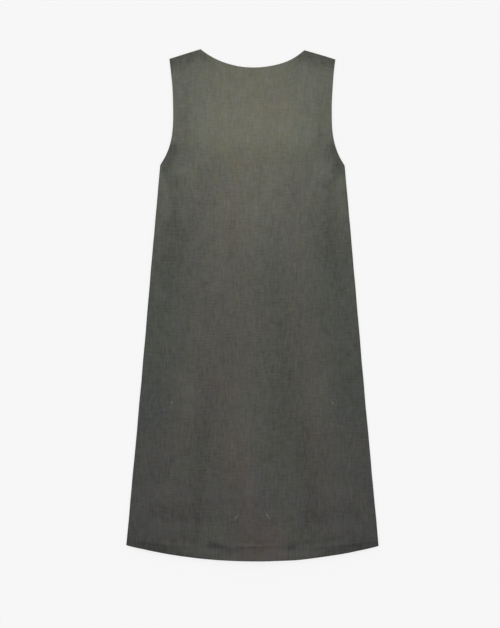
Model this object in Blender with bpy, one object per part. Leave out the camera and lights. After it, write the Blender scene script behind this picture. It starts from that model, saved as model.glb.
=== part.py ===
"""Sleeveless shift dress laid flat with its back up, hem towards -Y and neck towards +Y.

Metres, +Z up. The front lies on the surface at z = 0 and the back lies on the front. Each panel is
one wall of cloth, on rows of points that run from side to side, from the shoulders to the hem.
"""

import math

import bpy
import bmesh

# The garment's own sizes, laid flat
LENGTH = 1.110  # neck-shoulder point down to the middle of the hem
CHEST_WIDTH = 0.400  # armpit to armpit
HEM_WIDTH = 0.547  # corner to corner
SHOULDER_WIDTH = 0.360  # shoulder tip to shoulder tip
ACROSS_WIDTH = 0.344  # between the armholes where they are closest
NECK_WIDTH = 0.225  # between the neck-shoulder points
SHOULDER_DROP = 0.0213  # each drop is measured down from the neck-shoulder point
ACROSS_DROP = 0.136
ARMPIT_DROP = 0.251
BACK_NECK_DROP = 0.0395
FRONT_NECK_DROP = 0.072
HEM_DIP = 0.0345  # the hem's middle hangs this far below its corners
ARMHOLE_SCOOP = 2.87  # how late the armhole turns out towards the armpit
ARMHOLE_FLARE = 1.9  # how late it turns out towards the shoulder tip

# The turned-up hem
HEM_SIDE_DEPTH = 0.012
HEM_MIDDLE_DEPTH = 0.0355
HEM_EASE = 0.016  # the panel comes down from the folded hem over this much of its length
HEM_INSET = 0.0006  # the turned-up layer stays this far inside the panel's lower edge
HEM_END_INSET = 0.0015

# Cloth and how it is laid
WALL = 0.0010
GAP = 0.0003
LAYER = WALL + GAP
LOFT = 0.0006  # the back stands this much proud of the front away from its seams
FRONT_INSET = 0.0015  # the front's free edges stay this far inside the back's
FRONT_SHARE = 0.8  # the front rises with the back's folds by this share of their height,
FRONT_REST = 0.0009  # less this, so that between the folds it rests flat

CORNER_DROP = LENGTH - HEM_DIP
TOP = LENGTH / 2  # height of the neck-shoulder points, with y = 0 half way down

# Sections of a panel from shoulder to hem. drop: where the section meets the side outline.
# top_share and hem_share: how much of the neckline's and shoulders' shape, and of the hem's curve,
# it follows. rows: rows of faces down to the next section.
SECTIONS = (
    {"drop": SHOULDER_DROP, "top_share": 1.00, "hem_share": 0.00, "rows": 5},
    {"drop": ACROSS_DROP, "top_share": 0.12, "hem_share": 0.00, "rows": 5},
    {"drop": ARMPIT_DROP, "top_share": 0.00, "hem_share": 0.00, "rows": 8},
    {"drop": 0.500, "top_share": 0.00, "hem_share": 0.00, "rows": 9},
    {"drop": 0.780, "top_share": 0.00, "hem_share": 0.05, "rows": 8},
    {
        "drop": CORNER_DROP - HEM_SIDE_DEPTH - HEM_EASE,
        "top_share": 0.00,
        "hem_share": 0.26,
        "rows": 1,
    },
    {
        "drop": CORNER_DROP - HEM_SIDE_DEPTH,
        "top_share": 0.00,
        "hem_share": (HEM_DIP - HEM_MIDDLE_DEPTH + HEM_SIDE_DEPTH) / HEM_DIP,
        "rows": 2,
    },
    {"drop": CORNER_DROP, "top_share": 0.00, "hem_share": 1.00, "rows": 0},
)
HEM_EDGE = len(SECTIONS) - 1
FOLD_LINE = HEM_EDGE - 1  # the section along the top of the turned-up hem

# Columns of faces from the middle out: across half the neck, then along the shoulder
NECK_COLUMNS = 9
SHOULDER_COLUMNS = 4

# The largest soft folds: middle of the crest, half width and half length of the swell, lean of
# its length from the Y axis in degrees, and height
FOLDS = (
    {"x": -0.070, "y": 0.378, "across": 0.044, "along": 0.056, "lean": 8, "rise": 0.0058},
    {"x": 0.080, "y": 0.374, "across": 0.042, "along": 0.054, "lean": -8, "rise": 0.0054},
    {"x": -0.034, "y": 0.110, "across": 0.036, "along": 0.105, "lean": 4, "rise": 0.0048},
    {"x": 0.106, "y": 0.060, "across": 0.026, "along": 0.095, "lean": 7, "rise": 0.0040},
    {"x": -0.018, "y": -0.270, "across": 0.038, "along": 0.150, "lean": 2, "rise": 0.0090},
    {"x": -0.152, "y": -0.215, "across": 0.027, "along": 0.110, "lean": -7, "rise": 0.0074},
    {"x": 0.150, "y": -0.210, "across": 0.027, "along": 0.105, "lean": 8, "rise": 0.0070},
    {"x": -0.182, "y": -0.440, "across": 0.034, "along": 0.060, "lean": -5, "rise": 0.0048},
    {"x": 0.186, "y": -0.435, "across": 0.033, "along": 0.062, "lean": 6, "rise": 0.0050},
    {"x": 0.016, "y": -0.510, "across": 0.055, "along": 0.060, "lean": 8, "rise": 0.0050},
)
SEAM_REACH = 0.030  # folds and loft fade out over this distance from the side outline

CLOTH_COLOURS = {  # linear red, green and blue
    "back_panel": (0.122, 0.122, 0.101),
    "front_panel": (0.106, 0.106, 0.090),
    "back_hem": (0.090, 0.089, 0.079),
    "front_hem": (0.084, 0.083, 0.075),
}
CLOTH_ROUGHNESS = 0.92


def clear_scene():
    for obj in list(bpy.data.objects):
        bpy.data.objects.remove(obj, do_unlink=True)


def blend(low, high, share):
    return low + (high - low) * share


def ease(share):
    """0 to 1 with a level start and end."""
    share = min(max(share, 0.0), 1.0)
    return share * share * (3 - 2 * share)


def half_width(drop):
    """Half the panel's width on its side outline: armhole above the armpit, side seam below."""
    if drop >= ARMPIT_DROP:
        down_the_seam = (drop - ARMPIT_DROP) / (CORNER_DROP - ARMPIT_DROP)
        return blend(CHEST_WIDTH, HEM_WIDTH, down_the_seam) / 2
    if drop >= ACROSS_DROP:
        turn = (drop - ACROSS_DROP) / (ARMPIT_DROP - ACROSS_DROP)
        return blend(ACROSS_WIDTH, CHEST_WIDTH, turn**ARMHOLE_SCOOP) / 2
    turn = (ACROSS_DROP - drop) / (ACROSS_DROP - SHOULDER_DROP)
    return blend(ACROSS_WIDTH, SHOULDER_WIDTH, turn**ARMHOLE_FLARE) / 2


def arc_depth(x, half_chord, depth):
    """How far a round arc lies below its chord, x from the chord's middle."""
    radius = (half_chord**2 + depth**2) / (2 * depth)
    x = min(abs(x), half_chord)
    return math.sqrt(radius**2 - x**2) - (radius - depth)


def top_drop(x, neck_drop):
    """Drop of the neckline, or of the shoulder seam outside it."""
    half_neck = NECK_WIDTH / 2
    if abs(x) <= half_neck:
        return arc_depth(x, half_neck, neck_drop)
    along_shoulder = (abs(x) - half_neck) / (SHOULDER_WIDTH / 2 - half_neck)
    return SHOULDER_DROP * along_shoulder


def section_rows(first, last):
    """Every row between two sections: its drop, top_share and hem_share."""
    rows = []
    for above, below in zip(SECTIONS[first:last], SECTIONS[first + 1 :]):
        for step in range(above["rows"]):
            share = step / above["rows"]
            keys = ("drop", "top_share", "hem_share")
            rows.append({key: blend(above[key], below[key], share) for key in keys})
    rows.append(SECTIONS[last])
    return rows


def column_places():
    """Columns as shares of the half width, -1 to 1, with one on each neck-shoulder point."""
    neck = NECK_WIDTH / SHOULDER_WIDTH
    half = [neck * i / NECK_COLUMNS for i in range(NECK_COLUMNS)]
    half += [blend(neck, 1, i / SHOULDER_COLUMNS) for i in range(SHOULDER_COLUMNS + 1)]
    return [-place for place in reversed(half[1:])] + half


def plan_point(row, place, neck_drop):
    """x and y of the point on a row, at this share of its half width."""
    x = place * half_width(row["drop"])
    reach = SHOULDER_WIDTH / 2
    top_shape = top_drop(max(-reach, min(reach, x)), neck_drop) - SHOULDER_DROP
    hem_shape = arc_depth(x, HEM_WIDTH / 2, HEM_DIP)
    drop = row["drop"] + row["top_share"] * top_shape + row["hem_share"] * hem_shape
    return x, TOP - drop


def fold_rise(x, y):
    """Height of the soft folds, each a rounded swell that dies away all round."""
    total = 0.0
    for fold in FOLDS:
        lean = math.radians(fold["lean"])
        dx = x - fold["x"]
        dy = y - fold["y"]
        across = (dx * math.cos(lean) + dy * math.sin(lean)) / fold["across"]
        along = (dy * math.cos(lean) - dx * math.sin(lean)) / fold["along"]
        total += fold["rise"] * math.exp(-(across**2 + along**2) / 2)
    return total


def freedom(x, row):
    """0 at the side outline and the shoulders, 1 where the cloth is free to rise."""
    side_room = half_width(row["drop"]) - abs(x)
    top_room = row["drop"] - SHOULDER_DROP
    return ease(side_room / SEAM_REACH) * ease(top_room / SEAM_REACH)


def front_height(x, y, row):
    """Underside of the front: 0 where it rests, and up under the largest folds."""
    return max(0.0, FRONT_SHARE * freedom(x, row) * fold_rise(x, y) - FRONT_REST)


def back_height(x, y, row, layers_below):
    """Underside of a layer that rises with the back's folds."""
    return LAYER * layers_below + freedom(x, row) * (LOFT + fold_rise(x, y))


def layers_below_back(row):
    """1 where the back lies on the front, up to 3 where both turned-up hems are between them."""
    fold_line = SECTIONS[FOLD_LINE]["drop"]
    return 1 + 2 * ease(1 - (fold_line - row["drop"]) / HEM_EASE)


def cloth_sheet(name, rows, point):
    """One layer of cloth: a grid with point(row, place) at each crossing, thickened upwards."""
    places = column_places()
    last_row = len(rows) - 1
    last_column = len(places) - 1
    sheet = bmesh.new()
    bmesh.ops.create_grid(sheet, x_segments=last_column, y_segments=last_row, size=1)
    for vertex in sheet.verts:
        column = round((1 + vertex.co.x) / 2 * last_column)
        row = round((1 - vertex.co.y) / 2 * last_row)
        vertex.co = point(rows[row], places[column])
    mesh = bpy.data.meshes.new(name)
    sheet.to_mesh(mesh)
    sheet.free()
    mesh.materials.append(cloth_material(name))
    cloth = bpy.data.objects.new(name, mesh)
    bpy.context.scene.collection.objects.link(cloth)
    wall = cloth.modifiers.new("wall", "SOLIDIFY")
    wall.thickness = WALL
    wall.offset = 1
    wall.use_even_offset = True
    wall.use_rim = True


def cloth_material(name):
    material = bpy.data.materials.new(name)
    material.use_nodes = True
    shader = material.node_tree.nodes["Principled BSDF"]
    shader.inputs["Base Color"].default_value = (*CLOTH_COLOURS[name], 1)
    shader.inputs["Roughness"].default_value = CLOTH_ROUGHNESS
    shader.inputs["Metallic"].default_value = 0
    return material


def back_panel():
    def point(row, place):
        x, y = plan_point(row, place, BACK_NECK_DROP)
        return x, y, back_height(x, y, row, layers_below_back(row))

    cloth_sheet("back_panel", section_rows(0, HEM_EDGE), point)


def front_panel():
    """The front has the back's outline but for a lower neck, and free edges just inside."""

    def point(row, place):
        x, y = plan_point(row, place, FRONT_NECK_DROP)
        at_armhole = abs(place) == 1 and row["drop"] < ARMPIT_DROP
        x -= math.copysign(FRONT_INSET, x) * at_armhole
        y -= FRONT_INSET * (row["top_share"] == 1)
        y += FRONT_INSET * (row["hem_share"] == 1)
        return x, y, front_height(x, y, row)

    cloth_sheet("front_panel", section_rows(0, HEM_EDGE), point)


def turned_up_hem(name, edge_inset, height):
    """The hem allowance of a panel, folded up inside it as far as the fold line."""

    def point(row, place):
        x, y = plan_point(row, place, BACK_NECK_DROP)
        x -= math.copysign(HEM_END_INSET, x) * (abs(place) == 1)
        y += edge_inset * (row["hem_share"] == 1)
        return x, y, height(x, y, row)

    cloth_sheet(name, section_rows(FOLD_LINE, HEM_EDGE), point)


def back_hem():
    turned_up_hem("back_hem", HEM_INSET, lambda x, y, row: back_height(x, y, row, 2))


def front_hem():
    edge_inset = FRONT_INSET + HEM_INSET
    turned_up_hem("front_hem", edge_inset, lambda x, y, row: LAYER + front_height(x, y, row))


def main():
    clear_scene()
    front_panel()
    front_hem()
    back_hem()
    back_panel()


main()
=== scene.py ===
import math

import bpy
import bmesh
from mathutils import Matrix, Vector, noise


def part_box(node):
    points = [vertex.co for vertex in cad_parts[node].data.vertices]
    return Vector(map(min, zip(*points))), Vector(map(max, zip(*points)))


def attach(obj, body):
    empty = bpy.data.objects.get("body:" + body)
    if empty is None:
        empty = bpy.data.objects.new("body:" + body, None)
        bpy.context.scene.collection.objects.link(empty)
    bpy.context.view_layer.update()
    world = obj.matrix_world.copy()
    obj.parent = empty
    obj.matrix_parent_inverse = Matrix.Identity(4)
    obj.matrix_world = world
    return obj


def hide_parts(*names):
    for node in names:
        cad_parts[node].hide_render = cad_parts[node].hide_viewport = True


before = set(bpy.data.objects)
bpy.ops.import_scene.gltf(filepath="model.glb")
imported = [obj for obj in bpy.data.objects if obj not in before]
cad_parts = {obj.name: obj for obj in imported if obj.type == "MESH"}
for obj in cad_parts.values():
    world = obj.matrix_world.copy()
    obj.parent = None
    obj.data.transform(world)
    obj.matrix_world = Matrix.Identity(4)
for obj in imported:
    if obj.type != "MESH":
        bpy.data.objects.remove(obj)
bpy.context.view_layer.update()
mm = 0.001
backLow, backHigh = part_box("back_panel")

# The pattern the dress was cut to. A drop is measured down from the neck-shoulder point.
cut = {
    "length": (backHigh[1] - backLow[1]) / mm,
    "hem": (backHigh[0] - backLow[0]) / mm,
    "chest": 400,
    "shoulders": 360,
    "across": 344,  # between the armholes where they are closest
    "neck": 225,
    "shoulderDrop": 21.3,
    "acrossDrop": 136,
    "armpitDrop": 251,
    "backNeckDrop": 39.5,
    "frontNeckDrop": 72,
    "hemDip": 34.5,  # the hem's middle below its corners
    "armholeScoop": 2.87,  # how late the armhole turns out to the armpit
    "armholeFlare": 1.9,  # and to the shoulder tip
    "hemSideDepth": 12,  # of the turned-up hem
    "hemMiddleDepth": 35.5,
}
topY = backHigh[1] / mm
cornerDrop = cut["length"] - cut["hemDip"]
hemLineDrop = cornerDrop - cut["hemSideDepth"]
hemLineShare = (cut["hemDip"] - cut["hemMiddleDepth"] + cut["hemSideDepth"]) / cut["hemDip"]

# How far a line across the cloth follows the neckline and shoulders, and the curve of the hem
lineShares = [
    {"drop": cut["shoulderDrop"], "top": 1.0, "hem": 0.0},
    {"drop": cut["acrossDrop"], "top": 0.12, "hem": 0.0},
    {"drop": cut["armpitDrop"], "top": 0.0, "hem": 0.0},
    {"drop": 500, "top": 0.0, "hem": 0.0},
    {"drop": 780, "top": 0.0, "hem": 0.05},
    {"drop": hemLineDrop - 16, "top": 0.0, "hem": 0.26},
    {"drop": hemLineDrop, "top": 0.0, "hem": hemLineShare},
    {"drop": cornerDrop, "top": 0.0, "hem": 1.0},
]


def blend(low, high, share):
    return low + (high - low) * share


def ease(share):
    share = min(max(share, 0.0), 1.0)
    return share * share * (3 - 2 * share)


def stepUp(value, step):  # from 0 to 1: a step is where it starts and how far it goes on
    start, length = step
    return ease((value - start) / length)


def bell(distance, width):
    return math.exp(-((distance / width) ** 2) / 2)


def hill(value, spot):  # 1 at the spot's middle, fading over its width
    middle, width = spot
    return bell(value - middle, width)


def ripple(value, curve):  # an uneven smooth curve: its usual length, and which curve it is
    length, number = curve
    return noise.noise(Vector((value / length, number, 0)))


def halfWidth(drop):
    if drop >= cut["armpitDrop"]:
        downSeam = (drop - cut["armpitDrop"]) / (cornerDrop - cut["armpitDrop"])
        return blend(cut["chest"], cut["hem"], downSeam) / 2
    if drop >= cut["acrossDrop"]:
        turn = (drop - cut["acrossDrop"]) / (cut["armpitDrop"] - cut["acrossDrop"])
        return blend(cut["across"], cut["chest"], turn ** cut["armholeScoop"]) / 2
    turn = (cut["acrossDrop"] - drop) / (cut["acrossDrop"] - cut["shoulderDrop"])
    return blend(cut["across"], cut["shoulders"], turn ** cut["armholeFlare"]) / 2


def arcDepth(x, halfChord, depth):
    radius = (halfChord**2 + depth**2) / (2 * depth)
    x = min(abs(x), halfChord)
    return math.sqrt(radius**2 - x**2) - (radius - depth)


def topDrop(x, neckDrop):
    halfNeck = cut["neck"] / 2
    if abs(x) <= halfNeck:
        return arcDepth(x, halfNeck, neckDrop)
    alongShoulder = (abs(x) - halfNeck) / (cut["shoulders"] / 2 - halfNeck)
    return cut["shoulderDrop"] * min(alongShoulder, 1)


def shares(drop):
    for above, below in zip(lineShares, lineShares[1:]):
        if drop <= below["drop"]:
            along = (drop - above["drop"]) / (below["drop"] - above["drop"])
            return blend(above["top"], below["top"], along), blend(above["hem"], below["hem"], along)
    return 0.0, 1.0


def planPoint(drop, place, neckDrop):
    x = place * halfWidth(drop)
    topShare, hemShare = shares(drop)
    y = topY - drop - topShare * (topDrop(x, neckDrop) - cut["shoulderDrop"])
    return x, y - hemShare * arcDepth(x, cut["hem"] / 2, cut["hemDip"])


lay = {
    "wall": 0.85,
    "edgeRound": 0.17,
    "edgeSteps": 2,
    "edgeAngle": 50,  # in degrees: a sharper edge than this is rounded
    "gap": 0.3,
    "loft": 0.6,  # the back stands this much proud of the front away from its seams
    "frontShare": 0.8,  # how much of the back's folds the front takes up
    "frontRest": 0.9,  # the front lies on the surface until a fold lifts it by more than this
    "seamReach": 30,  # the folds fade out over this distance from the seams
    "edgeReach": 9,  # and the finer creases over this one
    "clearance": 0.12,
    "pinch": 0.12,  # how far each panel is drawn towards the other at the seams
    "pinchReach": 2.5,
    "hemEase": 16,  # the step up to the hem's layers is spread over this distance
    "cornerReach": 9,  # the hem is pressed thinner over this distance from the side seams
    "foldReach": 8,  # the cloth draws back to make room for the hem's fold over this distance
    "backTuck": 1.5,  # how far each turned-up hem stays inside its panel at the sides
    "frontTuck": 7,
    "tuckReach": 16,
    "frontInset": 1.5,  # of the front's armholes and shoulders inside the back's
    "insetReach": 12,  # the inset fades out over this distance above the armpits
    "neckSag": 0.95,  # where the front's lower neck leaves the back to lie on the floor
    "neckSagReach": 16,
}
lay["layer"] = lay["wall"] + lay["gap"]

# The largest folds, as the panels have them: half width, half length, lean in degrees, height
folds = [
    {"x": -70, "y": 378, "across": 44, "along": 56, "lean": 8, "rise": 5.8},
    {"x": 80, "y": 374, "across": 42, "along": 54, "lean": -8, "rise": 5.4},
    {"x": -34, "y": 110, "across": 36, "along": 105, "lean": 4, "rise": 4.8},
    {"x": 106, "y": 60, "across": 26, "along": 95, "lean": 7, "rise": 4.0},
    {"x": -18, "y": -270, "across": 38, "along": 150, "lean": 2, "rise": 9.0},
    {"x": -152, "y": -215, "across": 27, "along": 110, "lean": -7, "rise": 7.4},
    {"x": 150, "y": -210, "across": 27, "along": 105, "lean": 8, "rise": 7.0},
    {"x": -182, "y": -440, "across": 34, "along": 60, "lean": -5, "rise": 4.8},
    {"x": 186, "y": -435, "across": 33, "along": 62, "lean": 6, "rise": 5.0},
    {"x": 16, "y": -510, "across": 55, "along": 60, "lean": 8, "rise": 5.0},
]

# Smaller swells, hollows and creases of the back. Each mark's painted light and shade makes the colour
# paler on the crests and darker in the hollows, as a share of it; lean is in degrees, and a pair is on both
# sides.
backMarks = [
    {"x": 148, "y": 400, "across": 7, "along": 38, "lean": 1, "rise": -1.1, "paintedShading": -0.09, "pair": True},
    {"x": 92, "y": 388, "across": 28, "along": 28, "rise": 0.7, "paintedShading": 0.04, "pair": True},
    {"x": 170, "y": 337, "across": 12, "along": 19, "lean": 25, "rise": -1.1, "paintedShading": -0.27, "pair": True},
    {"x": 189, "y": 300, "across": 9, "along": 19, "lean": 15, "rise": -0.7, "paintedShading": -0.28, "pair": True},
    {"x": 157, "y": 290, "across": 9, "along": 12, "rise": 1.8, "paintedShading": 0.13, "pair": True},
    {"x": 166, "y": 268, "across": 6, "along": 9, "rise": -1.1, "paintedShading": -0.10, "pair": True},
    {"x": 196, "y": 232, "across": 8, "along": 34, "lean": 5, "rise": 0.7, "paintedShading": 0.14, "pair": True},
    {"x": 197, "y": 276, "across": 7, "along": 8, "rise": 0.7, "paintedShading": 0.10, "pair": True},
    {"x": 169, "y": 225, "across": 6, "along": 30, "lean": 3, "rise": -0.9, "paintedShading": -0.10, "pair": True},
    {"x": 164, "y": 172, "across": 11, "along": 24, "rise": -1.1, "paintedShading": -0.16, "pair": True},
    {"x": 170, "y": 130, "across": 38, "along": 36, "rise": -0.9, "paintedShading": -0.10, "pair": True},
    {"x": -100, "y": 228, "across": 14, "along": 28, "rise": -0.9, "paintedShading": -0.07},
    {"x": 201, "y": 246, "across": 8, "along": 16, "lean": 5, "rise": -0.5, "paintedShading": -0.12, "pair": True},
    {"x": -130, "y": 188, "across": 13, "along": 19, "rise": -0.8, "paintedShading": -0.10},
    {"x": -5, "y": 388, "across": 75, "along": 30, "rise": 0.3, "paintedShading": 0.05},
    {"x": 132, "y": 515, "across": 22, "along": 22, "rise": 0.0, "paintedShading": -0.05, "pair": True},
    {"x": -48, "y": 208, "across": 60, "along": 24, "rise": 0.3, "paintedShading": 0.03},
    {"x": 20, "y": 205, "across": 30, "along": 26, "rise": 0.5, "paintedShading": 0.05},
    {"x": -90, "y": 372, "across": 18, "along": 26, "rise": 0.4, "paintedShading": 0.04},
    {"x": -98, "y": 283, "across": 12, "along": 18, "rise": -0.5, "paintedShading": -0.06},
    {"x": 85, "y": 215, "across": 10, "along": 42, "lean": 2, "rise": -1.1, "paintedShading": -0.09},
    {"x": 123, "y": 186, "across": 12, "along": 12, "rise": -0.7, "paintedShading": -0.06},
    {"x": -178, "y": 72, "across": 16, "along": 34, "lean": -5, "rise": -0.9, "paintedShading": -0.13},
    {"x": 178, "y": 66, "across": 16, "along": 42, "lean": 5, "rise": -0.8, "paintedShading": -0.09},
    {"x": 190, "y": 10, "across": 32, "along": 110, "lean": 5, "rise": 0.0, "paintedShading": -0.05, "pair": True},
    {"x": -70, "y": 115, "across": 12, "along": 42, "lean": -3, "rise": 1.5, "paintedShading": 0.07},
    {"x": -48, "y": 118, "across": 5, "along": 14, "rise": -1.1, "paintedShading": -0.11},
    {"x": 45, "y": 165, "across": 12, "along": 18, "rise": -0.7, "paintedShading": -0.06},
    {"x": 52, "y": 55, "across": 24, "along": 60, "lean": 3, "rise": -0.9, "paintedShading": -0.08},
    {"x": 60, "y": -120, "across": 27, "along": 92, "lean": 4, "rise": -0.9, "paintedShading": -0.11},
    {"x": 62, "y": -250, "across": 18, "along": 60, "lean": 4, "rise": -0.5, "paintedShading": -0.06},
    {"x": 128, "y": -75, "across": 15, "along": 26, "rise": 0.5, "paintedShading": 0.07},
    {"x": -28, "y": -275, "across": 22, "along": 75, "rise": 0.0, "paintedShading": 0.07},
    {"x": 108, "y": -320, "across": 14, "along": 75, "lean": 5, "rise": -1.1, "paintedShading": -0.11},
    {"x": -108, "y": -290, "across": 12, "along": 70, "lean": -3, "rise": -1.1, "paintedShading": -0.11},
    {"x": -122, "y": -395, "across": 14, "along": 30, "lean": -3, "rise": -0.7, "paintedShading": -0.06},
    {"x": 121, "y": -455, "across": 11, "along": 20, "rise": -1.3, "paintedShading": -0.16, "pair": True},
    {"x": 140, "y": -192, "across": 16, "along": 34, "lean": -6, "rise": 1.3, "paintedShading": 0.17, "pair": True},
    {"x": 168, "y": -148, "across": 14, "along": 16, "rise": 0.7, "paintedShading": 0.06, "pair": True},
    {"x": 158, "y": -270, "across": 14, "along": 38, "lean": 4, "rise": 0.9, "paintedShading": 0.07, "pair": True},
    {"x": 218, "y": -195, "across": 20, "along": 60, "lean": 4, "rise": -0.9, "paintedShading": -0.07, "pair": True},
    {"x": -35, "y": -262, "across": 30, "along": 42, "rise": 0.9, "paintedShading": 0.06},
    {"x": -10, "y": -385, "across": 14, "along": 26, "rise": 1.1, "paintedShading": 0.10},
    {"x": -50, "y": -80, "across": 7, "along": 9, "rise": -0.9, "paintedShading": -0.09},
    {"x": 30, "y": -335, "across": 14, "along": 14, "rise": -0.7, "paintedShading": -0.07},
    {"x": 36, "y": -430, "across": 15, "along": 12, "rise": -0.7, "paintedShading": -0.07},
    {"x": -160, "y": -460, "across": 34, "along": 9, "lean": -6, "rise": -0.9, "paintedShading": -0.12},
    {"x": 140, "y": -460, "across": 26, "along": 9, "lean": 6, "rise": -0.7, "paintedShading": -0.07},
    {"x": 192, "y": -407, "across": 24, "along": 14, "rise": 0.9, "paintedShading": 0.11, "pair": True},
    {"x": 243, "y": -430, "across": 10, "along": 22, "lean": 5, "rise": 0.7, "paintedShading": 0.08, "pair": True},
    {"x": 205, "y": -366, "across": 18, "along": 12, "rise": -0.7, "paintedShading": -0.05, "pair": True},
    {"x": 198, "y": -443, "across": 22, "along": 8, "rise": -0.7, "paintedShading": -0.08, "pair": True},
    {"x": 188, "y": -484, "across": 26, "along": 11, "rise": 0.9, "paintedShading": 0.10, "pair": True},
    {"x": 58, "y": -495, "across": 14, "along": 15, "rise": 0.9, "paintedShading": 0.11},
    {"x": -80, "y": -492, "across": 24, "along": 10, "rise": 0.7, "paintedShading": 0.05},
    {"x": 15, "y": -480, "across": 28, "along": 14, "rise": 0.7, "paintedShading": 0.04},
    {"x": 177, "y": 343, "across": 6, "along": 8, "lean": 15, "rise": -0.5, "paintedShading": -0.20, "pair": True},
    {"x": 196, "y": 271, "across": 7, "along": 11, "rise": 0.6, "paintedShading": 0.13, "pair": True},
    {"x": 180, "y": 276, "across": 5, "along": 20, "rise": -0.7, "paintedShading": -0.12, "pair": True},
    {"x": 152, "y": 290, "across": 4, "along": 3.5, "rise": 0.5, "paintedShading": 0.18, "pair": True},
    {"x": 157, "y": 263, "across": 8, "along": 5, "rise": -0.5, "paintedShading": -0.11, "pair": True},
    {"x": 146, "y": 374, "across": 7, "along": 7, "rise": -0.5, "paintedShading": -0.13, "pair": True},
    {"x": 161, "y": 355, "across": 8, "along": 6, "rise": 0.5, "paintedShading": 0.12, "pair": True},
    {"x": -168, "y": 323, "across": 5, "along": 8, "rise": 0.4, "paintedShading": 0.16},
    {"x": 97, "y": 508, "across": 17, "along": 16, "rise": -0.2, "paintedShading": -0.05},
    {"x": 166, "y": 503, "across": 9, "along": 14, "rise": 0.2, "paintedShading": 0.06},
    {"x": 203, "y": -330, "across": 32, "along": 26, "rise": 0.2, "paintedShading": 0.04, "pair": True},
    {"x": 0, "y": -330, "across": 24, "along": 24, "rise": 0.2, "paintedShading": 0.04},
]

# Puckers along the hem, each so far up from its edge: dark tucks with painted shade and pale stretches with
# painted light
hemMarks = [
    {"x": -78, "up": 31.5, "across": 15, "along": 4, "rise": -0.9, "paintedShading": -0.44},
    {"x": -52, "up": 23, "across": 12, "along": 4, "rise": -0.7, "paintedShading": -0.24},
    {"x": 83, "up": 30, "across": 13, "along": 4.5, "rise": -0.8, "paintedShading": -0.36},
    {"x": -106, "up": 17, "across": 24, "along": 6, "rise": 0.6, "paintedShading": 0.20},
    {"x": -125, "up": 8, "across": 18, "along": 4, "rise": 0.3, "paintedShading": 0.18},
    {"x": -165, "up": 24, "across": 26, "along": 4, "rise": 0.6, "paintedShading": 0.10},
    {"x": -142, "up": 17, "across": 18, "along": 3.5, "rise": -0.5, "paintedShading": -0.08},
    {"x": -182, "up": 32, "across": 18, "along": 3.5, "rise": -0.5, "paintedShading": -0.10},
    {"x": -138, "up": 40, "across": 28, "along": 6, "rise": -0.5, "paintedShading": -0.12},
    {"x": -205, "up": 38, "across": 16, "along": 5, "rise": 0.3, "paintedShading": 0.05},
    {"x": -75, "up": 45, "across": 20, "along": 6, "rise": 0.4, "paintedShading": 0.08},
    {"x": -8, "up": 35, "across": 30, "along": 3, "rise": 0.6, "paintedShading": 0.18},
    {"x": 4, "up": 30.5, "across": 30, "along": 2.4, "rise": -0.5, "paintedShading": -0.08},
    {"x": 25, "up": 43, "across": 12, "along": 3.5, "rise": -0.4, "paintedShading": -0.14},
    {"x": 22, "up": 14, "across": 46, "along": 9, "rise": 0.4, "paintedShading": 0.15},
    {"x": 55, "up": 18, "across": 15, "along": 6, "rise": 0.4, "paintedShading": 0.08},
    {"x": 85, "up": 45, "across": 18, "along": 6, "rise": 0.4, "paintedShading": 0.09},
    {"x": 110, "up": 9, "across": 26, "along": 8, "rise": 0.7, "paintedShading": 0.24},
    {"x": 124, "up": 24, "across": 24, "along": 4, "rise": 0.5, "paintedShading": 0.12},
    {"x": 162, "up": 28, "across": 18, "along": 3.5, "rise": 0.5, "paintedShading": 0.10},
    {"x": 164, "up": 14, "across": 18, "along": 5, "rise": -0.4, "paintedShading": -0.08},
    {"x": 158, "up": 36, "across": 26, "along": 5, "rise": -0.4, "paintedShading": -0.16},
    {"x": 110, "up": 36, "across": 15, "along": 4, "rise": -0.4, "paintedShading": -0.08},
    {"x": 190, "up": 24, "across": 16, "along": 4, "rise": 0.4, "paintedShading": 0.05},
    {"x": -228, "up": 13, "across": 36, "along": 7, "rise": -0.4, "paintedShading": -0.24},
    {"x": 216, "up": 13, "across": 28, "along": 7, "rise": -0.4, "paintedShading": -0.28},
    {"x": 237, "up": 13, "across": 9, "along": 6, "rise": -0.3, "paintedShading": -0.13},
    {"x": 3, "up": 32, "across": 10, "along": 2.5, "rise": -0.3, "paintedShading": -0.12},
    {"x": 133, "up": 5, "across": 12, "along": 4, "rise": 0.3, "paintedShading": 0.20},
    {"x": 68, "up": 28, "across": 14, "along": 4, "rise": 0.4, "paintedShading": 0.13},
]

# The hidden side has creases of its own, with painted light and shade along them
frontMarks = [
    {"x": -60, "y": 300, "across": 6, "along": 50, "lean": -12, "rise": 1.1, "paintedShading": 0.05},
    {"x": 74, "y": 286, "across": 6, "along": 44, "lean": 14, "rise": 1.1, "paintedShading": 0.05},
    {"x": 0, "y": 40, "across": 8, "along": 60, "lean": 3, "rise": 0.9, "paintedShading": -0.05},
    {"x": 70, "y": -160, "across": 9, "along": 80, "lean": 6, "rise": 1.1, "paintedShading": -0.07},
    {"x": -96, "y": -230, "across": 9, "along": 90, "lean": -6, "rise": 1.1, "paintedShading": -0.07},
    {"x": 160, "y": -60, "across": 10, "along": 50, "lean": 4, "rise": 0.9, "paintedShading": 0.06, "pair": True},
]

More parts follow.
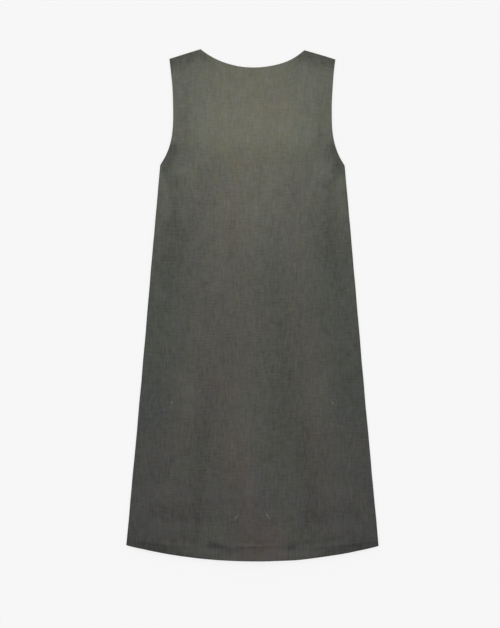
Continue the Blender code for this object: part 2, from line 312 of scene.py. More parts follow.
# Where the cloth is warmer (brownish) or cooler (greenish), and yellower or bluer, in parts of a hundred
tints = [
    {"x": -38, "y": -345, "across": 20, "along": 62, "lean": 13, "warm": 5.5, "yellow": 0.0},
    {"x": -110, "y": -255, "across": 44, "along": 36, "warm": 0.8, "yellow": 0.0},
    {"x": 12, "y": -498, "across": 34, "along": 34, "lean": 15, "warm": 4.8, "yellow": 0.3},
    {"x": 20, "y": -555, "across": 36, "along": 24, "warm": 1.8, "yellow": 0.3},
    {"x": 52, "y": -512, "across": 15, "along": 24, "warm": 3.2, "yellow": 0.0},
    {"x": -22, "y": -482, "across": 14, "along": 22, "warm": 2.2, "yellow": 0.5},
    {"x": -50, "y": -190, "across": 20, "along": 30, "lean": 12, "warm": 2.5, "yellow": -0.5},
    {"x": -150, "y": -275, "across": 14, "along": 24, "warm": 2.5, "yellow": 0.5},
    {"x": 135, "y": -290, "across": 14, "along": 24, "lean": 10, "warm": 3.0, "yellow": 0.0},
    {"x": 132, "y": -190, "across": 24, "along": 70, "lean": 8, "warm": 1.8, "yellow": 0.0},
    {"x": 110, "y": -70, "across": 17, "along": 45, "lean": 8, "warm": 2.0, "yellow": -0.8},
    {"x": 140, "y": -380, "across": 15, "along": 35, "lean": 4, "warm": 2.0, "yellow": 0.0},
    {"x": -60, "y": -60, "across": 60, "along": 75, "warm": 1.4, "yellow": -0.5},
    {"x": -140, "y": -170, "across": 40, "along": 32, "warm": 1.8, "yellow": -0.5},
    {"x": 170, "y": -440, "across": 42, "along": 30, "warm": 1.4, "yellow": 0.0, "pair": True},
    {"x": -50, "y": 165, "across": 12, "along": 28, "warm": 3.5, "yellow": 0.5},
    {"x": -18, "y": 172, "across": 9, "along": 10, "warm": 2.0, "yellow": 0.5},
    {"x": -35, "y": 300, "across": 14, "along": 25, "lean": 15, "warm": 2.0, "yellow": 1.0},
    {"x": -30, "y": 245, "across": 14, "along": 18, "lean": -20, "warm": 2.0, "yellow": 0.0},
    {"x": 92, "y": 110, "across": 14, "along": 35, "lean": 5, "warm": 1.2, "yellow": 0.0},
    {"x": 80, "y": 15, "across": 12, "along": 22, "lean": 5, "warm": 0.8, "yellow": 0.0},
    {"x": 50, "y": -180, "across": 34, "along": 180, "lean": 2, "warm": -1.8, "yellow": 1.0},
    {"x": 35, "y": 110, "across": 22, "along": 40, "warm": -1.4, "yellow": 0.0},
    {"x": -90, "y": -315, "across": 16, "along": 22, "warm": -1.2, "yellow": 0.0},
    {"x": 192, "y": 288, "across": 13, "along": 26, "warm": -2.0, "yellow": 0.5, "pair": True},
    {"x": 125, "y": 390, "across": 20, "along": 60, "warm": -0.7, "yellow": 0.0, "pair": True},
    {"x": 66, "y": 508, "across": 24, "along": 18, "warm": -1.3, "yellow": -0.4},
    {"x": 118, "y": 110, "across": 40, "along": 60, "warm": -0.6, "yellow": 0.0},
    {"x": 134, "y": 388, "across": 13, "along": 24, "warm": 0.0, "yellow": 2.0, "pair": True},
    {"x": 72, "y": 440, "across": 28, "along": 38, "warm": 0.8, "yellow": -0.5, "pair": True},
    {"x": 88, "y": -490, "across": 28, "along": 16, "lean": -30, "warm": -1.8, "yellow": 3.6, "pair": True},
    {"x": 85, "y": -388, "across": 22, "along": 13, "warm": -0.5, "yellow": 1.7, "pair": True},
    {"x": 165, "y": -395, "across": 12, "along": 26, "warm": 0.0, "yellow": 0.8, "pair": True},
    {"x": 8, "y": -345, "across": 12, "along": 25, "warm": 0.0, "yellow": -2.0},
    {"x": -15, "y": 100, "across": 38, "along": 80, "warm": 0.0, "yellow": 1.4},
    {"x": -131, "y": 508, "across": 16, "along": 18, "warm": 0.0, "yellow": 1.5},
    {"x": -129, "y": 392, "across": 13, "along": 22, "warm": -0.4, "yellow": 1.0},
    {"x": -72, "y": 150, "across": 18, "along": 20, "warm": 0.0, "yellow": 0.9},
    {"x": 190, "y": 212, "across": 12, "along": 20, "warm": 0.0, "yellow": 1.0},
    {"x": 190, "y": -330, "across": 34, "along": 24, "warm": 0.0, "yellow": -0.9, "pair": True},
]


def spread(features):
    placed = []
    for feature in features:
        for side in (1, -1) if feature.get("pair") else (1,):
            lean = math.radians(feature.get("lean", 0)) * side
            place = {"x": feature["x"] * side, "cos": math.cos(lean), "sin": math.sin(lean)}
            placed.append({**feature, **place})
    return placed


folds = spread(folds)
backMarks = spread(backMarks)
frontMarks = spread(frontMarks)
hemMarks = spread([{**mark, "y": mark["up"]} for mark in hemMarks])
tints = spread(tints)

featureReach = 3.2  # a feature is left out beyond this many of its half widths or half lengths


def presence(feature, x, y):
    dx = x - feature["x"]
    dy = y - feature["y"]
    along = (dy * feature["cos"] - dx * feature["sin"]) / feature["along"]
    if abs(along) > featureReach:
        return 0.0
    across = (dx * feature["cos"] + dy * feature["sin"]) / feature["across"]
    if abs(across) > featureReach:
        return 0.0
    return math.exp(-(across**2 + along**2) / 2)


def total(features, key, x, y):
    return sum(feature[key] * presence(feature, x, y) for feature in features)


def fromSide(x, drop):
    return halfWidth(drop) - abs(x)


def fromTop(drop):
    return drop - cut["shoulderDrop"]


def aboveFold(drop, reach):  # 1 at the fold of the hem, 0 this far above it
    return ease(1 - (cornerDrop - drop) / reach)


def room(x, drop, reach):
    return ease(fromSide(x, drop) / reach) * ease(fromTop(drop) / reach)


def frontLift(x, y, drop):
    free = room(x, drop, lay["seamReach"])
    lift = lay["frontShare"] * free * total(folds, "rise", x, y) - lay["frontRest"]
    return max(0.0, lift)


def layersBelow(x, drop):
    full = 1 + ease(fromSide(x, drop) / lay["cornerReach"])
    return 1 + full * ease(1 - (hemLineDrop - drop) / lay["hemEase"])


# Fine unevenness all over, each wave from its own layer of noise
crumples = [
    {"across": 34, "along": 62, "height": 0.6, "layer": 0},
    {"across": 11, "along": 22, "height": 0.2, "layer": 9},
]


def crumple(x, y):
    height = 0.0
    for wave in crumples:
        spot = Vector((x / wave["across"], y / wave["along"], wave["layer"]))
        height += wave["height"] * noise.noise(spot)
    return height


# Both panels are laid a little off true together
offTrue = {
    "sideways": 0.5,
    "sideCurve": (48, 3.3),
    "lengthways": 0.4,
    "lengthCurve": (42, 8.8),
    "seamHollow": 0.8,  # the side seams bow in by this much halfway down
    "seamHollowSpot": (-175, 150),
    "seamHollowWidth": 230,
    "skew": 0.0036,  # how far the right side lies below the left, for its distance
}


def wander(x, y):
    hollow = offTrue["seamHollow"] * hill(y, offTrue["seamHollowSpot"]) * x / offTrue["seamHollowWidth"]
    aside = offTrue["sideways"] * ripple(y, offTrue["sideCurve"]) - hollow
    onward = offTrue["lengthways"] * ripple(x, offTrue["lengthCurve"])
    return x + aside, y + onward - offTrue["skew"] * x


# The turned-up hem is stitched along a soft groove, and its upper edge makes a ridge above that; the groove
# is painted darker with shade and the ridge paler with a highlight
hemSeam = {
    "bow": 3,  # the line bows down by this much on either side
    "bowSpot": (150, 45),
    "grooveBelow": 5.4,  # the edge's line
    "grooveStray": 1.2,
    "grooveCurve": (26, 4.1),
    "grooveWidth": 2.0,
    "grooveDepth": 0.4,
    "grooveShade": -0.08,
    "grooveLeast": 0.15,
    "ridgeAbove": 0.6,
    "ridgeWidth": 2.2,
    "ridgeHeight": 0.25,
    "ridgeHighlight": 0.09,
    "ridgeMost": 1.5,
    "ridgeLeast": 0.2,
    "strength": 0.75,
    "unevenness": 0.9,  # where the groove is stronger, the ridge is weaker
    "unevenCurve": (17, 1.7),
}


def aboveHemEdge(x, y):
    return y - (topY - cornerDrop - arcDepth(x, cut["hem"] / 2, cut["hemDip"]))


def aboveHemLine(x, y):
    line = topY - hemLineDrop - hemLineShare * arcDepth(x, cut["hem"] / 2, cut["hemDip"])
    return y - line + hemSeam["bow"] * hill(abs(x), hemSeam["bowSpot"])


def hemStitching(x, y):
    above = aboveHemLine(x, y)
    strength = hemSeam["strength"] + hemSeam["unevenness"] * ripple(x, hemSeam["unevenCurve"])
    stray = hemSeam["grooveStray"] * ripple(x, hemSeam["grooveCurve"])
    groove = bell(above + hemSeam["grooveBelow"] + stray, hemSeam["grooveWidth"])
    ridge = hill(above, (hemSeam["ridgeAbove"], hemSeam["ridgeWidth"]))
    ridgeStrength = max(hemSeam["ridgeMost"] - strength, hemSeam["ridgeLeast"])
    return groove * max(strength, hemSeam["grooveLeast"]), ridge * ridgeStrength


grid = {
    "fieldStep": 4.2,
    "edgeStep": 0.7,
    "edgeGrowth": 0.16,  # how fast the rows grow wider below the top edge
    "hemLineStep": 0.9,
    "hemLineGrowth": 0.12,  # and above the hem's upper edge
    "hemRows": 26,
    "foldRows": 5,
    "turnedRows": 10,
    "neckColumns": 42,
    "shoulderColumns": 20,
    "edgeColumns": [10, 6.6, 4.2, 2.6, 1.5, 0.7, 0],  # distance from the side outline
    "edgeFrom": 230,  # the half width at which those distances are true
}


def columnPlaces():
    neck = cut["neck"] / cut["shoulders"]
    inner = 1 - grid["edgeColumns"][0] / grid["edgeFrom"]
    half = [neck * i / grid["neckColumns"] for i in range(grid["neckColumns"])]
    half += [blend(neck, inner, i / grid["shoulderColumns"]) for i in range(grid["shoulderColumns"])]
    half += [1 - distance / grid["edgeFrom"] for distance in grid["edgeColumns"]]
    return [-place for place in reversed(half[1:])] + half


def panelDrops():
    drops = [cut["shoulderDrop"]]
    while drops[-1] < hemLineDrop:
        belowTop = grid["edgeStep"] + grid["edgeGrowth"] * fromTop(drops[-1])
        aboveLine = grid["hemLineStep"] + grid["hemLineGrowth"] * (hemLineDrop - drops[-1])
        drops.append(drops[-1] + min(belowTop, aboveLine, grid["fieldStep"]))
    stretch = (hemLineDrop - drops[0]) / (drops[-1] - drops[0])
    return [drops[0] + (drop - drops[0]) * stretch for drop in drops]


def clothRows():  # down the panel, round the fold at its hem, and up the turned-up hem
    rows = [{"drop": drop, "turn": 0.0} for drop in panelDrops()]
    for i in range(1, grid["hemRows"] + 1):
        rows.append({"drop": blend(hemLineDrop, cornerDrop, i / grid["hemRows"]), "turn": 0.0})
    for i in range(1, grid["foldRows"]):
        rows.append({"drop": cornerDrop, "turn": math.pi * i / grid["foldRows"]})
    for i in range(grid["turnedRows"] + 1):
        rows.append({"drop": blend(cornerDrop, hemLineDrop, i / grid["turnedRows"]), "turn": math.pi})
    return rows


def link(name, data):
    piece = bpy.data.objects.new(name, data)
    bpy.context.scene.collection.objects.link(piece)
    return piece


def meshOf(name, shape):
    mesh = bpy.data.meshes.new(name)
    shape.to_mesh(mesh)
    shape.free()
    return mesh


def clothMesh(name, point):  # one sheet of cloth without its thickness
    rows = clothRows()
    places = columnPlaces()
    lastRow = len(rows) - 1
    lastColumn = len(places) - 1
    sheet = bmesh.new()
    bmesh.ops.create_grid(sheet, x_segments=lastColumn, y_segments=lastRow, size=1)
    keys = ("light", "warm", "yellow")
    for key in keys:
        sheet.verts.layers.float.new(key)
    layers = {key: sheet.verts.layers.float[key] for key in keys}
    wallLayer = sheet.verts.layers.deform.verify()
    uv = sheet.loops.layers.uv.new("cloth")
    flat = {}
    for vertex in sheet.verts:
        column = round((1 + vertex.co.x) / 2 * lastColumn)
        row = round((1 - vertex.co.y) / 2 * lastRow)
        spot = point(rows[row], places[column])
        x, y = wander(spot["x"], spot["y"])
        vertex.co = Vector((x, y, spot["z"])) * mm
        for key, layer in layers.items():
            vertex[layer] = spot[key]
        vertex[wallLayer][0] = spot["wall"]
        flat[vertex.index] = (spot["x"] * mm, -spot["length"] * mm)
    for face in sheet.faces:
        face.smooth = True
        for loop in face.loops:
            loop[uv].uv = flat[loop.vert.index]
    return meshOf(name, sheet)


def clothSheet(name, point, wallSide):
    piece = link(name, clothMesh(name, point))
    piece.vertex_groups.new(name="wall")
    wall = piece.modifiers.new("wall", "SOLIDIFY")
    wall.thickness = lay["wall"] * mm
    wall.offset = wallSide
    wall.use_rim = True
    wall.vertex_group = "wall"
    soften = piece.modifiers.new("soften", "BEVEL")
    soften.width = lay["edgeRound"] * mm
    soften.use_clamp_overlap = False
    soften.segments = lay["edgeSteps"]
    soften.limit_method = "ANGLE"
    soften.angle_limit = math.radians(lay["edgeAngle"])
    return piece


edges = {
    "turnedIn": (6, 1.5),  # the free edges are turned in, and thicker, up to this step
    "plainWall": 0.88,  # share of the wall where nothing is turned in
    "thinning": 0.45,  # share of the wall that the rounding takes at the very edge
    "thinReach": 1.6,
}


def wallShare(place, drop):  # rounded off at the edge, fuller where a free edge is turned in
    nearest = min((1 - abs(place)) * halfWidth(drop), fromTop(drop))
    turned = 1 - stepUp(nearest, edges["turnedIn"]) if drop < cut["armpitDrop"] else 0.0
    rounding = 1 - edges["thinning"] * (1 - ease(nearest / edges["thinReach"]))
    return blend(edges["plainWall"], 1.0, turned) * rounding


def seamPinch(place, drop):  # the panels are drawn together along the side seams and shoulders
    if drop >= cut["armpitDrop"]:
        side = (1 - abs(place)) * halfWidth(drop)
        return lay["pinch"] * (1 - ease(side / lay["pinchReach"]))
    if abs(place) * cut["shoulders"] > cut["neck"]:
        return lay["pinch"] * (1 - ease(fromTop(drop) / lay["pinchReach"]))
    return 0.0


# The colour over the whole dress. light is a plain share, painted paler towards the chest and less so at
# its sides, as a painted pool of light; warm and yellow are in parts of a hundred.
# Steps and spots along the dress are places in Y, and those across it are shares of its half width.
colourAndPaintedLight = {
    "skirtLight": 0.0677,
    "chestLight": 0.0772,
    "chestFrom": 430,
    "chestFade": 300,
    "chestSideLoss": 0.45,  # share of the chest's painted light that its sides lack
    "upperStep": (200, 150),
    "skirtWarm": 0.25,
    "upperWarm": 0.0,
    "sideWarm": (-2.9, -1.4),  # the sides are greener, most of all in the skirt
    "sideWarmStep": (20, 160),
    "greenFrom": (0.42, 0.25),  # in the skirt and in the upper part
    "greenReach": 0.45,
    "greenStep": (-300, 70),
    "yellow": 3.2,
    "yellowSteps": [
        {"step": (-430, 110), "more": 2.2},
        {"step": (-330, 400), "more": 1.2},
        {"step": (120, 140), "more": 1.6},
    ],
    "chestYellow": 2.0,
    "chestYellowStep": (265, 75),
    "chestYellowEnd": (80, 50),  # from the centre line, in millimetres
    "sideBlue": 1.8,  # the skirt's sides are bluer
    "sideBlueFrom": (0.6, 0.3),
    "sideBlueEnd": (-215, 90),
    "sideBlueHem": 0.5,  # share of it that is left at the hem
    "sideBlueStep": (-400, 40),
}


def warmth(y, side):
    upper = stepUp(y, colourAndPaintedLight["upperStep"])
    sideWarm = blend(*colourAndPaintedLight["sideWarm"], stepUp(y, colourAndPaintedLight["sideWarmStep"]))
    greener = stepUp(side, (blend(*colourAndPaintedLight["greenFrom"], upper), colourAndPaintedLight["greenReach"]))
    greener *= stepUp(y, colourAndPaintedLight["greenStep"])
    return blend(colourAndPaintedLight["skirtWarm"], colourAndPaintedLight["upperWarm"], upper) + sideWarm * greener


def yellowness(x, y, side):
    yellow = colourAndPaintedLight["yellow"]
    for rise in colourAndPaintedLight["yellowSteps"]:
        yellow += rise["more"] * stepUp(y, rise["step"])
    middle = 1 - stepUp(abs(x), colourAndPaintedLight["chestYellowEnd"])
    yellow += colourAndPaintedLight["chestYellow"] * stepUp(y, colourAndPaintedLight["chestYellowStep"]) * middle
    bluer = stepUp(side, colourAndPaintedLight["sideBlueFrom"]) * (1 - stepUp(y, colourAndPaintedLight["sideBlueEnd"]))
    return yellow - colourAndPaintedLight["sideBlue"] * bluer * blend(colourAndPaintedLight["sideBlueHem"], 1, stepUp(y, colourAndPaintedLight["sideBlueStep"]))


def shading(x, y, drop, paintedShading):
    side = min(abs(x) / halfWidth(drop), 1)
    # the chest's paleness is painted light, falling off down the dress and towards its sides
    chest = bell(min(y - colourAndPaintedLight["chestFrom"], 0), colourAndPaintedLight["chestFade"]) * (1 - colourAndPaintedLight["chestSideLoss"] * side**2)
    return {
        "light": blend(colourAndPaintedLight["skirtLight"], colourAndPaintedLight["chestLight"], chest) * (1 + paintedShading),
        "warm": (warmth(y, side) + total(tints, "warm", x, y)) / 100,
        "yellow": (yellowness(x, y, side) + total(tints, "yellow", x, y)) / 100,
    }


# How much paler or darker the back is painted towards its edges: painted light on the middle of the hem,
# the upper part and the centre, painted shade on the hem's sides, the shoulders and a thin rim along the
# edges, most at the armholes
paintedEdgeShading = {
    "hemMiddle": 0.12,
    "hemSides": -0.20,
    "hemStep": (0.15, 0.35),
    "hemReach": 7,
    "upper": 0.09,
    "upperStep": (322, 42),
    "centre": 0.012,
    "centreWidth": 0.15,
    "shoulder": -0.37,
    "shoulderStep": (75, 38),
    "shoulderEnd": (4, 36),  # below the shoulder line
    "rimShade": -0.10,
    "armholeRimShade": -0.18,
    "armholeSpot": (332, 22),
    "rimEnd": (0.6, 2),
}


def backEdgeShading(x, y, place, drop):
    side = min(abs(x) / halfWidth(drop), 1)
    hem = blend(paintedEdgeShading["hemMiddle"], paintedEdgeShading["hemSides"], stepUp(side, paintedEdgeShading["hemStep"]))
    paintedShading = hem * aboveFold(drop, paintedEdgeShading["hemReach"])
    paintedShading += paintedEdgeShading["upper"] * stepUp(y, paintedEdgeShading["upperStep"])
    paintedShading += paintedEdgeShading["centre"] * bell(side, paintedEdgeShading["centreWidth"])
    belowShoulder = topY - topDrop(x, cut["backNeckDrop"]) - y
    outer = stepUp(abs(x), paintedEdgeShading["shoulderStep"])
    paintedShading += paintedEdgeShading["shoulder"] * outer * (1 - stepUp(belowShoulder, paintedEdgeShading["shoulderEnd"]))
    nearest = min((1 - abs(place)) * halfWidth(drop), fromTop(drop))
    rimShade = paintedEdgeShading["rimShade"] + paintedEdgeShading["armholeRimShade"] * hill(y, paintedEdgeShading["armholeSpot"])
    return paintedShading + rimShade * (1 - stepUp(nearest, paintedEdgeShading["rimEnd"]))


# The back's neckline and hem are pulled down a little on the right. A share is what another part does.
drags = {
    "neck": 2.8,
    "neckReach": 45,
    "neckRight": (86, 28),
    "neckLeft": (-15, 45),
    "neckLeftShare": -0.2,
    "hem": 1.1,
    "hemReach": 40,
    "hemRight": (102, 20),
    "hemMiddle": (-5, 40),
    "hemMiddleShare": -0.6,
    "rightCorner": (120, 40),
    "rightCornerShare": 0.2,
    "leftCorner": (238, 20),
    "leftCornerShare": 0.45,
}


def pulledDown(x, drop):
    neck = hill(x, drags["neckRight"]) + drags["neckLeftShare"] * hill(x, drags["neckLeft"])
    hem = hill(x, drags["hemRight"]) + drags["hemMiddleShare"] * hill(x, drags["hemMiddle"])
    hem += drags["rightCornerShare"] * stepUp(x, drags["rightCorner"])
    hem += drags["leftCornerShare"] * stepUp(-x, drags["leftCorner"])
    down = drags["neck"] * neck * (1 - ease(fromTop(drop) / drags["neckReach"]))
    return down + drags["hem"] * hem * aboveFold(drop, drags["hemReach"])


def tucked(inset, fromEdge):  # how far a point so far from an edge moves when the edge is set in
    return inset * max(0, 1 - fromEdge / lay["tuckReach"])


def foldUnder(spot, row, direction, tuck):  # the last rows turn under and lie along the panel
    turned = (1 - math.cos(row["turn"])) / 2
    spot["z"] += direction * lay["gap"] * turned
    spot["y"] -= lay["gap"] / 2 * math.sin(row["turn"])
    spot["x"] -= math.copysign(tucked(tuck * turned, fromSide(spot["x"], row["drop"])), spot["x"])
    if row["turn"] > 0:
        spot["length"] = 2 * cornerDrop - row["drop"]


def backHeight(x, y, drop, detail):
    layers = layersBelow(x, drop)
    rise = room(x, drop, lay["seamReach"]) * (lay["loft"] + total(folds, "rise", x, y))
    under = lay["layer"] * (layers - 1) + lay["wall"] + frontLift(x, y, drop)
    z = max(lay["layer"] * layers + rise + detail, under + lay["clearance"])
    if abs(x) < cut["neck"] / 2:
        beyondFront = y - (topY - topDrop(x, cut["frontNeckDrop"]))
        z -= lay["neckSag"] * ease(beyondFront / lay["neckSagReach"])
    return z


def backPoint(row, place):
    drop = row["drop"]
    x, y = planPoint(drop, place, cut["backNeckDrop"])
    groove, ridge = hemStitching(x, y)
    up = aboveHemEdge(x, y)
    small = total(backMarks, "rise", x, y) + total(hemMarks, "rise", x, up) + crumple(x, y)
    detail = room(x, drop, lay["edgeReach"]) * small
    detail += hemSeam["ridgeHeight"] * ridge - hemSeam["grooveDepth"] * groove
    # painted light and shade from the marks, the hem's stitching and the edges
    paintedShading = total(backMarks, "paintedShading", x, y) + total(hemMarks, "paintedShading", x, up)
    paintedShading += hemSeam["ridgeHighlight"] * ridge + hemSeam["grooveShade"] * groove
    paintedShading += backEdgeShading(x, y, place, drop)
    z = backHeight(x, y, drop, detail) - seamPinch(place, drop)
    y -= pulledDown(x, drop)
    y += (lay["wall"] + lay["gap"] / 2) * aboveFold(drop, lay["foldReach"])
    spot = {"x": x, "y": y, "z": z, "wall": wallShare(place, drop), "length": drop}
    spot.update(shading(x, y, drop, paintedShading))
    foldUnder(spot, row, -1, lay["backTuck"])
    return spot


def frontPoint(row, place):
    drop = row["drop"]
    x, y = planPoint(drop, place, cut["frontNeckDrop"])
    inset = lay["frontInset"] * ease((cut["armpitDrop"] - drop) / lay["insetReach"])
    x -= math.copysign(tucked(inset, fromSide(x, drop)), x)
    y -= tucked(inset, fromTop(drop))
    z = lay["wall"] + frontLift(x, y, drop) + seamPinch(place, drop)
    y += (lay["wall"] + lay["gap"] / 2 + lay["frontInset"]) * aboveFold(drop, lay["foldReach"])
    spot = {"x": x, "y": y, "z": z, "wall": wallShare(place, drop), "length": drop}
    spot.update(shading(x, y, drop, total(frontMarks, "paintedShading", x, y)))
    foldUnder(spot, row, 1, lay["frontTuck"])
    return spot


back = clothSheet("backCloth", backPoint, 1)
front = clothSheet("frontCloth", frontPoint, -1)
print("cloth: back and front, each with its turned-up hem")

threadEnds = {
    "radius": 0.42,
    "taper": 0.5,  # the thin end's share of the radius
    "sides": 8,
    "bends": 5,
    "sink": 0.1,
    "bow": 0.12,
    "dropFrom": 100,
    "spots": [
        {"x": -33, "y": -457, "length": 12, "turn": 54},
        {"x": 34, "y": -457, "length": 14, "turn": -54},
        {"x": -175, "y": -210, "length": 6, "turn": 86},
        {"x": 174, "y": -211, "length": 7, "turn": 94},
    ],
}


def layThread(spot, look, cloth):
    radius = look["radius"] * mm
    length = spot["length"] * mm
    thread = bmesh.new()
    bmesh.ops.create_cone(
        thread, cap_ends=True, segments=look["sides"], radius1=radius, radius2=radius * look["taper"],
        depth=length)
    lengthwise = [edge for edge in thread.edges if edge.calc_length() > mm]
    bmesh.ops.subdivide_edges(thread, edges=lengthwise, cuts=look["bends"])
    turn = math.radians(spot["turn"])
    for vertex in thread.verts:
        along = vertex.co.z
        aside = vertex.co.x + look["bow"] * along * along / length
        x = spot["x"] * mm + along * math.cos(turn) - aside * math.sin(turn)
        y = spot["y"] * mm + along * math.sin(turn) + aside * math.cos(turn)
        above = Vector((x, y, look["dropFrom"] * mm))
        place = cloth.ray_cast(above, Vector((0, 0, -1)))[1]
        vertex.co = (x, y, place.z + vertex.co.y + (look["radius"] - look["sink"]) * mm)
    bmesh.ops.recalc_face_normals(thread, faces=thread.faces)
    for face in thread.faces:
        face.smooth = True
    return meshOf("thread", thread)


def layThreads(look):  # short loose ends of thread that lie on the back
    cloth = back.evaluated_get(bpy.context.evaluated_depsgraph_get())
    threads = bmesh.new()
    for spot in look["spots"]:
        threads.from_mesh(layThread(spot, look, cloth))
    return link("threadEnds", meshOf("threadEnds", threads))


threads = layThreads(threadEnds)
print("thread ends:", len(threadEnds["spots"]))


class Wire:  # one socket, so that shader sums read as sums
    def __init__(self, graph, socket):
        self.graph = graph
        self.socket = socket

    def __add__(self, other):
        return self.graph.maths("ADD", self, other)

    def __radd__(self, other):
        return self.graph.maths("ADD", other, self)

    def __sub__(self, other):
        return self.graph.maths("SUBTRACT", self, other)

    def __rsub__(self, other):
        return self.graph.maths("SUBTRACT", other, self)

    def __mul__(self, other):
        return self.graph.maths("MULTIPLY", self, other)

    def __rmul__(self, other):
        return self.graph.maths("MULTIPLY", other, self)

    def __truediv__(self, other):
        return self.graph.maths("DIVIDE", self, other)


class Graph:  # the nodes of one material or of the world
    def __init__(self, owner):
        owner.use_nodes = True
        self.nodes = owner.node_tree.nodes
        self.links = owner.node_tree.links

    def fill(self, socket, value):
        if isinstance(value, Wire):
            self.links.new(value.socket, socket)
        else:
            socket.default_value = value

    def add(self, kind, settings=None, sockets=None, output=0):
        node = self.nodes.new(kind)
        for name, value in (settings or {}).items():
            setattr(node, name, value)
        for name, value in (sockets or {}).items():
            self.fill(node.inputs[name], value)
        return Wire(self, node.outputs[output])

    def maths(self, operation, *values):
        return self.add("ShaderNodeMath", {"operation": operation}, dict(enumerate(values)))

    def colours(self, kind, factor, low, high):
        settings = {"data_type": "RGBA", "blend_type": kind}
        return self.add("ShaderNodeMix", settings, {0: factor, 6: low, 7: high}, 2)

    def attribute(self, name):
        return self.add("ShaderNodeAttribute", {"attribute_name": name}, {}, 2)

    def axes(self, vector):
        node = self.add("ShaderNodeSeparateXYZ", {}, {"Vector": vector}).socket.node
        return [Wire(self, output) for output in node.outputs]

    def speckle(self, place, pattern, seed=0):  # about -0.5 to 0.5
        scale = (1 / (pattern["across"] * mm), 1 / (pattern["along"] * mm), 1)
        shift = (seed + pattern["shift"],) * 3
        spot = self.add("ShaderNodeMapping", {}, {"Vector": place, "Scale": scale, "Location": shift})
        sockets = {"Vector": spot, "Scale": 1.0}
        sockets["Detail"] = pattern.get("detail", 2.0)
        sockets["Roughness"] = pattern.get("roughness", 0.5)
        return self.add("ShaderNodeTexNoise", {"noise_dimensions": "3D"}, sockets) - 0.5


linenLook = {
    "warpPitch": 0.62,
    "weftPitch": 0.70,
    "wobble": 0.8,
    "crossing": 0.45,  # how far a thread dips where another one lies over it
    "warpSlub": 0.59,
    "weftSlub": 0.47,
    "patches": 1.6,  # how far warp and weft take turns to show
    "blotch": 0.24,
    "grain": 0.16,
    "warmSpread": 0.10,
    "yellowSpread": 0.14,
    "warmPull": 1.2,  # what one part of warmth does to the red, and the other way to the rest
    "yellowPull": 2.35,  # what one part of yellow takes from the blue
    "plainLight": 0.066,
    "paleSlubFade": 18,  # how much the slubs fade where the colour is paler, painted light included
    "weaveShade": 0.16,
    "weaveHeight": 0.08,
    "slubHeight": 0.18,
    "roughness": 0.9,
    "grainPolish": 0.1,
    "specular": 0.25,
    "sheen": 0.08,
    "sheenRoughness": 0.5,
    "patterns": {
        "warpWobble": {"across": 9, "along": 30, "shift": 3.1},
        "weftWobble": {"across": 30, "along": 9, "shift": 7.7},
        "turns": {"across": 11, "along": 13, "shift": 8.2},
        "warpSlub": {"across": 3.5, "along": 20, "shift": 1.3, "detail": 0.8, "roughness": 0.6},
        "weftSlub": {"across": 18, "along": 3.6, "shift": 5.9, "detail": 0.8, "roughness": 0.6},
        "grain": {"across": 2.4, "along": 2.8, "shift": 2.6},
        "blotch": {"across": 20, "along": 28, "shift": 9.4},
        "warm": {"across": 10, "along": 18, "shift": 4.2, "detail": 1.5, "roughness": 0.6},
        "yellow": {"across": 14, "along": 16, "shift": 6.6, "detail": 1.5, "roughness": 0.6},
    },
}


def weaveThreads(g, cloth, look, warpWobble, weftWobble):  # 1 along the top of each thread
    x, y, _ = g.axes(cloth)
    u = x / (look["warpPitch"] * mm) + warpWobble * look["wobble"]
    v = y / (look["weftPitch"] * mm) + weftWobble * look["wobble"]
    warpOver = g.maths("SINE", (v + g.maths("FLOOR", u)) * math.pi) * look["crossing"]
    weftUnder = g.maths("SINE", (u + g.maths("FLOOR", v)) * math.pi) * look["crossing"]
    level = 1 - look["crossing"]
    warp = g.maths("ABSOLUTE", g.maths("SINE", u * math.pi)) * (level + warpOver)
    weft = g.maths("ABSOLUTE", g.maths("SINE", v * math.pi)) * (level - weftUnder)
    return g.maths("MAXIMUM", warp, weft)


def linen(name, look, seed):
    material = bpy.data.materials.new(name)
    g = Graph(material)
    shader = g.nodes["Principled BSDF"]
    cloth = g.add("ShaderNodeUVMap", {"uv_map": "cloth"})
    noises = {key: g.speckle(cloth, pattern, seed) for key, pattern in look["patterns"].items()}
    weave = weaveThreads(g, cloth, look, noises["warpWobble"], noises["weftWobble"])
    turns = g.maths("MULTIPLY_ADD", noises["turns"], look["patches"], 0.5)
    warpSlub = noises["warpSlub"] * (1.5 - turns)
    weftSlub = noises["weftSlub"] * (0.5 + turns)
    grain = noises["grain"]
    warm = noises["warm"] * look["warmSpread"] + g.attribute("warm")
    yellow = noises["yellow"] * look["yellowSpread"] + g.attribute("yellow")
    slubs = warpSlub * look["warpSlub"] + weftSlub * look["weftSlub"] + grain * look["grain"]
    slubStrength = 1 - (g.attribute("light") - look["plainLight"]) * look["paleSlubFade"]
    light = 1 + slubs * slubStrength + noises["blotch"] * look["blotch"]
    light = light * (1 - look["weaveShade"] + weave * look["weaveShade"])
    light = light * g.attribute("light")
    red = light * (1 + warm * look["warmPull"])
    green = light * (1 - warm * look["warmPull"])
    blue = green * (1 - yellow * look["yellowPull"])
    g.fill(shader.inputs["Base Color"], g.add("ShaderNodeCombineColor", {}, {0: red, 1: green, 2: blue}))
    g.fill(shader.inputs["Roughness"], look["roughness"] - grain * look["grainPolish"])
    shader.inputs["Specular IOR Level"].default_value = look["specular"]
    shader.inputs["Sheen Weight"].default_value = look["sheen"]
    shader.inputs["Sheen Roughness"].default_value = look["sheenRoughness"]
    height = weave * look["weaveHeight"] + (warpSlub + weftSlub) * look["slubHeight"]
    bump = g.add("ShaderNodeBump", {}, {"Strength": 1.0, "Distance": mm, "Height": height})
    g.fill(shader.inputs["Normal"], bump)
    return material


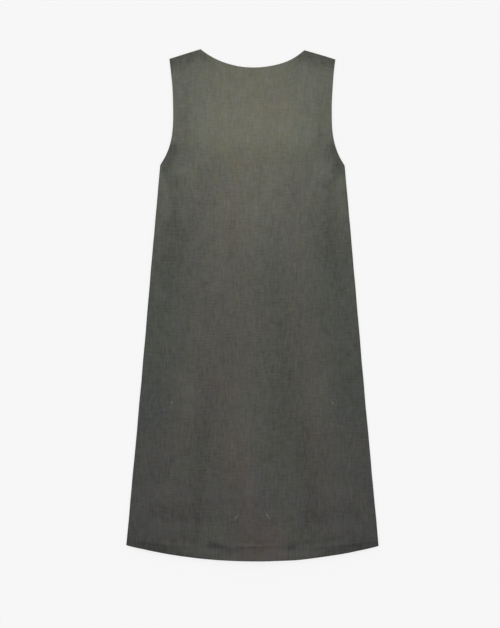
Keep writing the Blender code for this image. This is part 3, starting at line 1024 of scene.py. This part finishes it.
back.data.materials.append(linen("linenBack", linenLook, 0))
front.data.materials.append(linen("linenFront", linenLook, 20))

threadLook = {
    "dull": (0.22, 0.22, 0.18),
    "bright": (0.34, 0.34, 0.28),
    "spread": 1.5,
    "fibres": {"across": 0.5, "along": 0.5, "shift": 0.7},
    "roughness": 0.8,
}


def looseThread(look):
    material = bpy.data.materials.new("looseThread")
    g = Graph(material)
    shader = g.nodes["Principled BSDF"]
    place = g.add("ShaderNodeTexCoord", {}, {}, "Object")
    fibre = g.speckle(place, look["fibres"]) * look["spread"] + 0.5
    base = g.colours("MIX", fibre, (*look["dull"], 1), (*look["bright"], 1))
    g.fill(shader.inputs["Base Color"], base)
    shader.inputs["Roughness"].default_value = look["roughness"]
    return material


threads.data.materials.append(looseThread(threadLook))
print("materials: linen and loose thread")

for piece, side, below in ((front, "front", []), (back, "back", [front])):
    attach(piece, "root")
    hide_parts(side + "_panel", side + "_hem")

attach(threads, "root")

studio = {
    "lens": 120,
    "sensor": 36,
    "farthest": 100,  # in metres
    "pixel": 2.167,  # of cloth for each of the picture's pixels
    "pictureHeight": 628,
    "middle": (-5.3, -18.7),
    "clothLevel": 3,  # the height at which that scale is true
    "horizon": 0.93,
    "overhead": 0.495,
    "skyRise": (0.1, 0.6),  # the heights between which the sky darkens
    "floorSize": 30,  # half a side, in metres
    "floorDrop": 0.1,
    "floorShade": 0.35,
    "floorGlow": 0.735,
    "softBoxes": [
        {"name": "chestBox", "place": (0, 474, 450), "size": (200, 200), "power": 1.72},
        {"name": "lengthBox", "place": (0, 0, 500), "size": (120, 1300), "power": 2.19},
    ],
}


def paintSky(look):
    world = bpy.data.worlds.new("studio")
    bpy.context.scene.world = world
    sky = Graph(world)
    direction = sky.add("ShaderNodeTexCoord", {}, {}, "Generated")
    low, high = look["skyRise"]
    ramp = {"Value": sky.axes(direction)[2], "From Min": low, "From Max": high}
    ramp.update({"To Min": look["horizon"], "To Max": look["overhead"]})
    brightness = sky.add("ShaderNodeMapRange", {"interpolation_type": "SMOOTHSTEP"}, ramp)
    background = sky.nodes["Background"]
    sky.fill(background.inputs["Color"], (1, 1, 1, 1))
    sky.fill(background.inputs["Strength"], brightness)


def layFloor(look):
    shape = bmesh.new()
    bmesh.ops.create_grid(shape, x_segments=1, y_segments=1, size=look["floorSize"])
    bmesh.ops.translate(shape, verts=shape.verts, vec=(0, 0, -look["floorDrop"] * mm))
    floor = link("floor", meshOf("floor", shape))
    paint = bpy.data.materials.new("floorPaint")
    shader = Graph(paint).nodes["Principled BSDF"]
    shader.inputs["Base Color"].default_value = (look["floorShade"],) * 3 + (1,)
    shader.inputs["Roughness"].default_value = 1
    shader.inputs["Specular IOR Level"].default_value = 0
    shader.inputs["Emission Color"].default_value = (1, 1, 1, 1)
    shader.inputs["Emission Strength"].default_value = look["floorGlow"]
    floor.data.materials.append(paint)
    return floor


def hangSoftBoxes(look, pieces):  # they light the dress alone, so that the floor stays even
    lit = bpy.data.collections.new("lit")
    for piece in pieces:
        lit.objects.link(piece)
    for box in look["softBoxes"]:
        data = bpy.data.lights.new(box["name"], "AREA")
        data.shape = "RECTANGLE"
        data.size = box["size"][0] * mm
        data.size_y = box["size"][1] * mm
        data.energy = box["power"]
        lamp = link(box["name"], data)
        lamp.location = Vector(box["place"]) * mm
        lamp.visible_camera = False
        lamp.light_linking.receiver_collection = lit


def setCamera(look):  # straight above, at the distance that gives the picture its scale
    lens = bpy.data.cameras.new("camera")
    lens.lens = look["lens"]
    lens.sensor_width = look["sensor"]
    lens.clip_end = look["farthest"]
    camera = link("camera", lens)
    halfView = look["pictureHeight"] * look["pixel"] / 2
    cameraHeight = halfView / (look["sensor"] / 2 / look["lens"])
    camera.location = Vector((*look["middle"], cameraHeight + look["clothLevel"])) * mm
    bpy.context.scene.camera = camera


bpy.context.scene.view_settings.view_transform = "Standard"
paintSky(studio)
floor = layFloor(studio)
hangSoftBoxes(studio, (back, front, threads))
setCamera(studio)
print("studio: floor, two soft boxes, camera straight above")
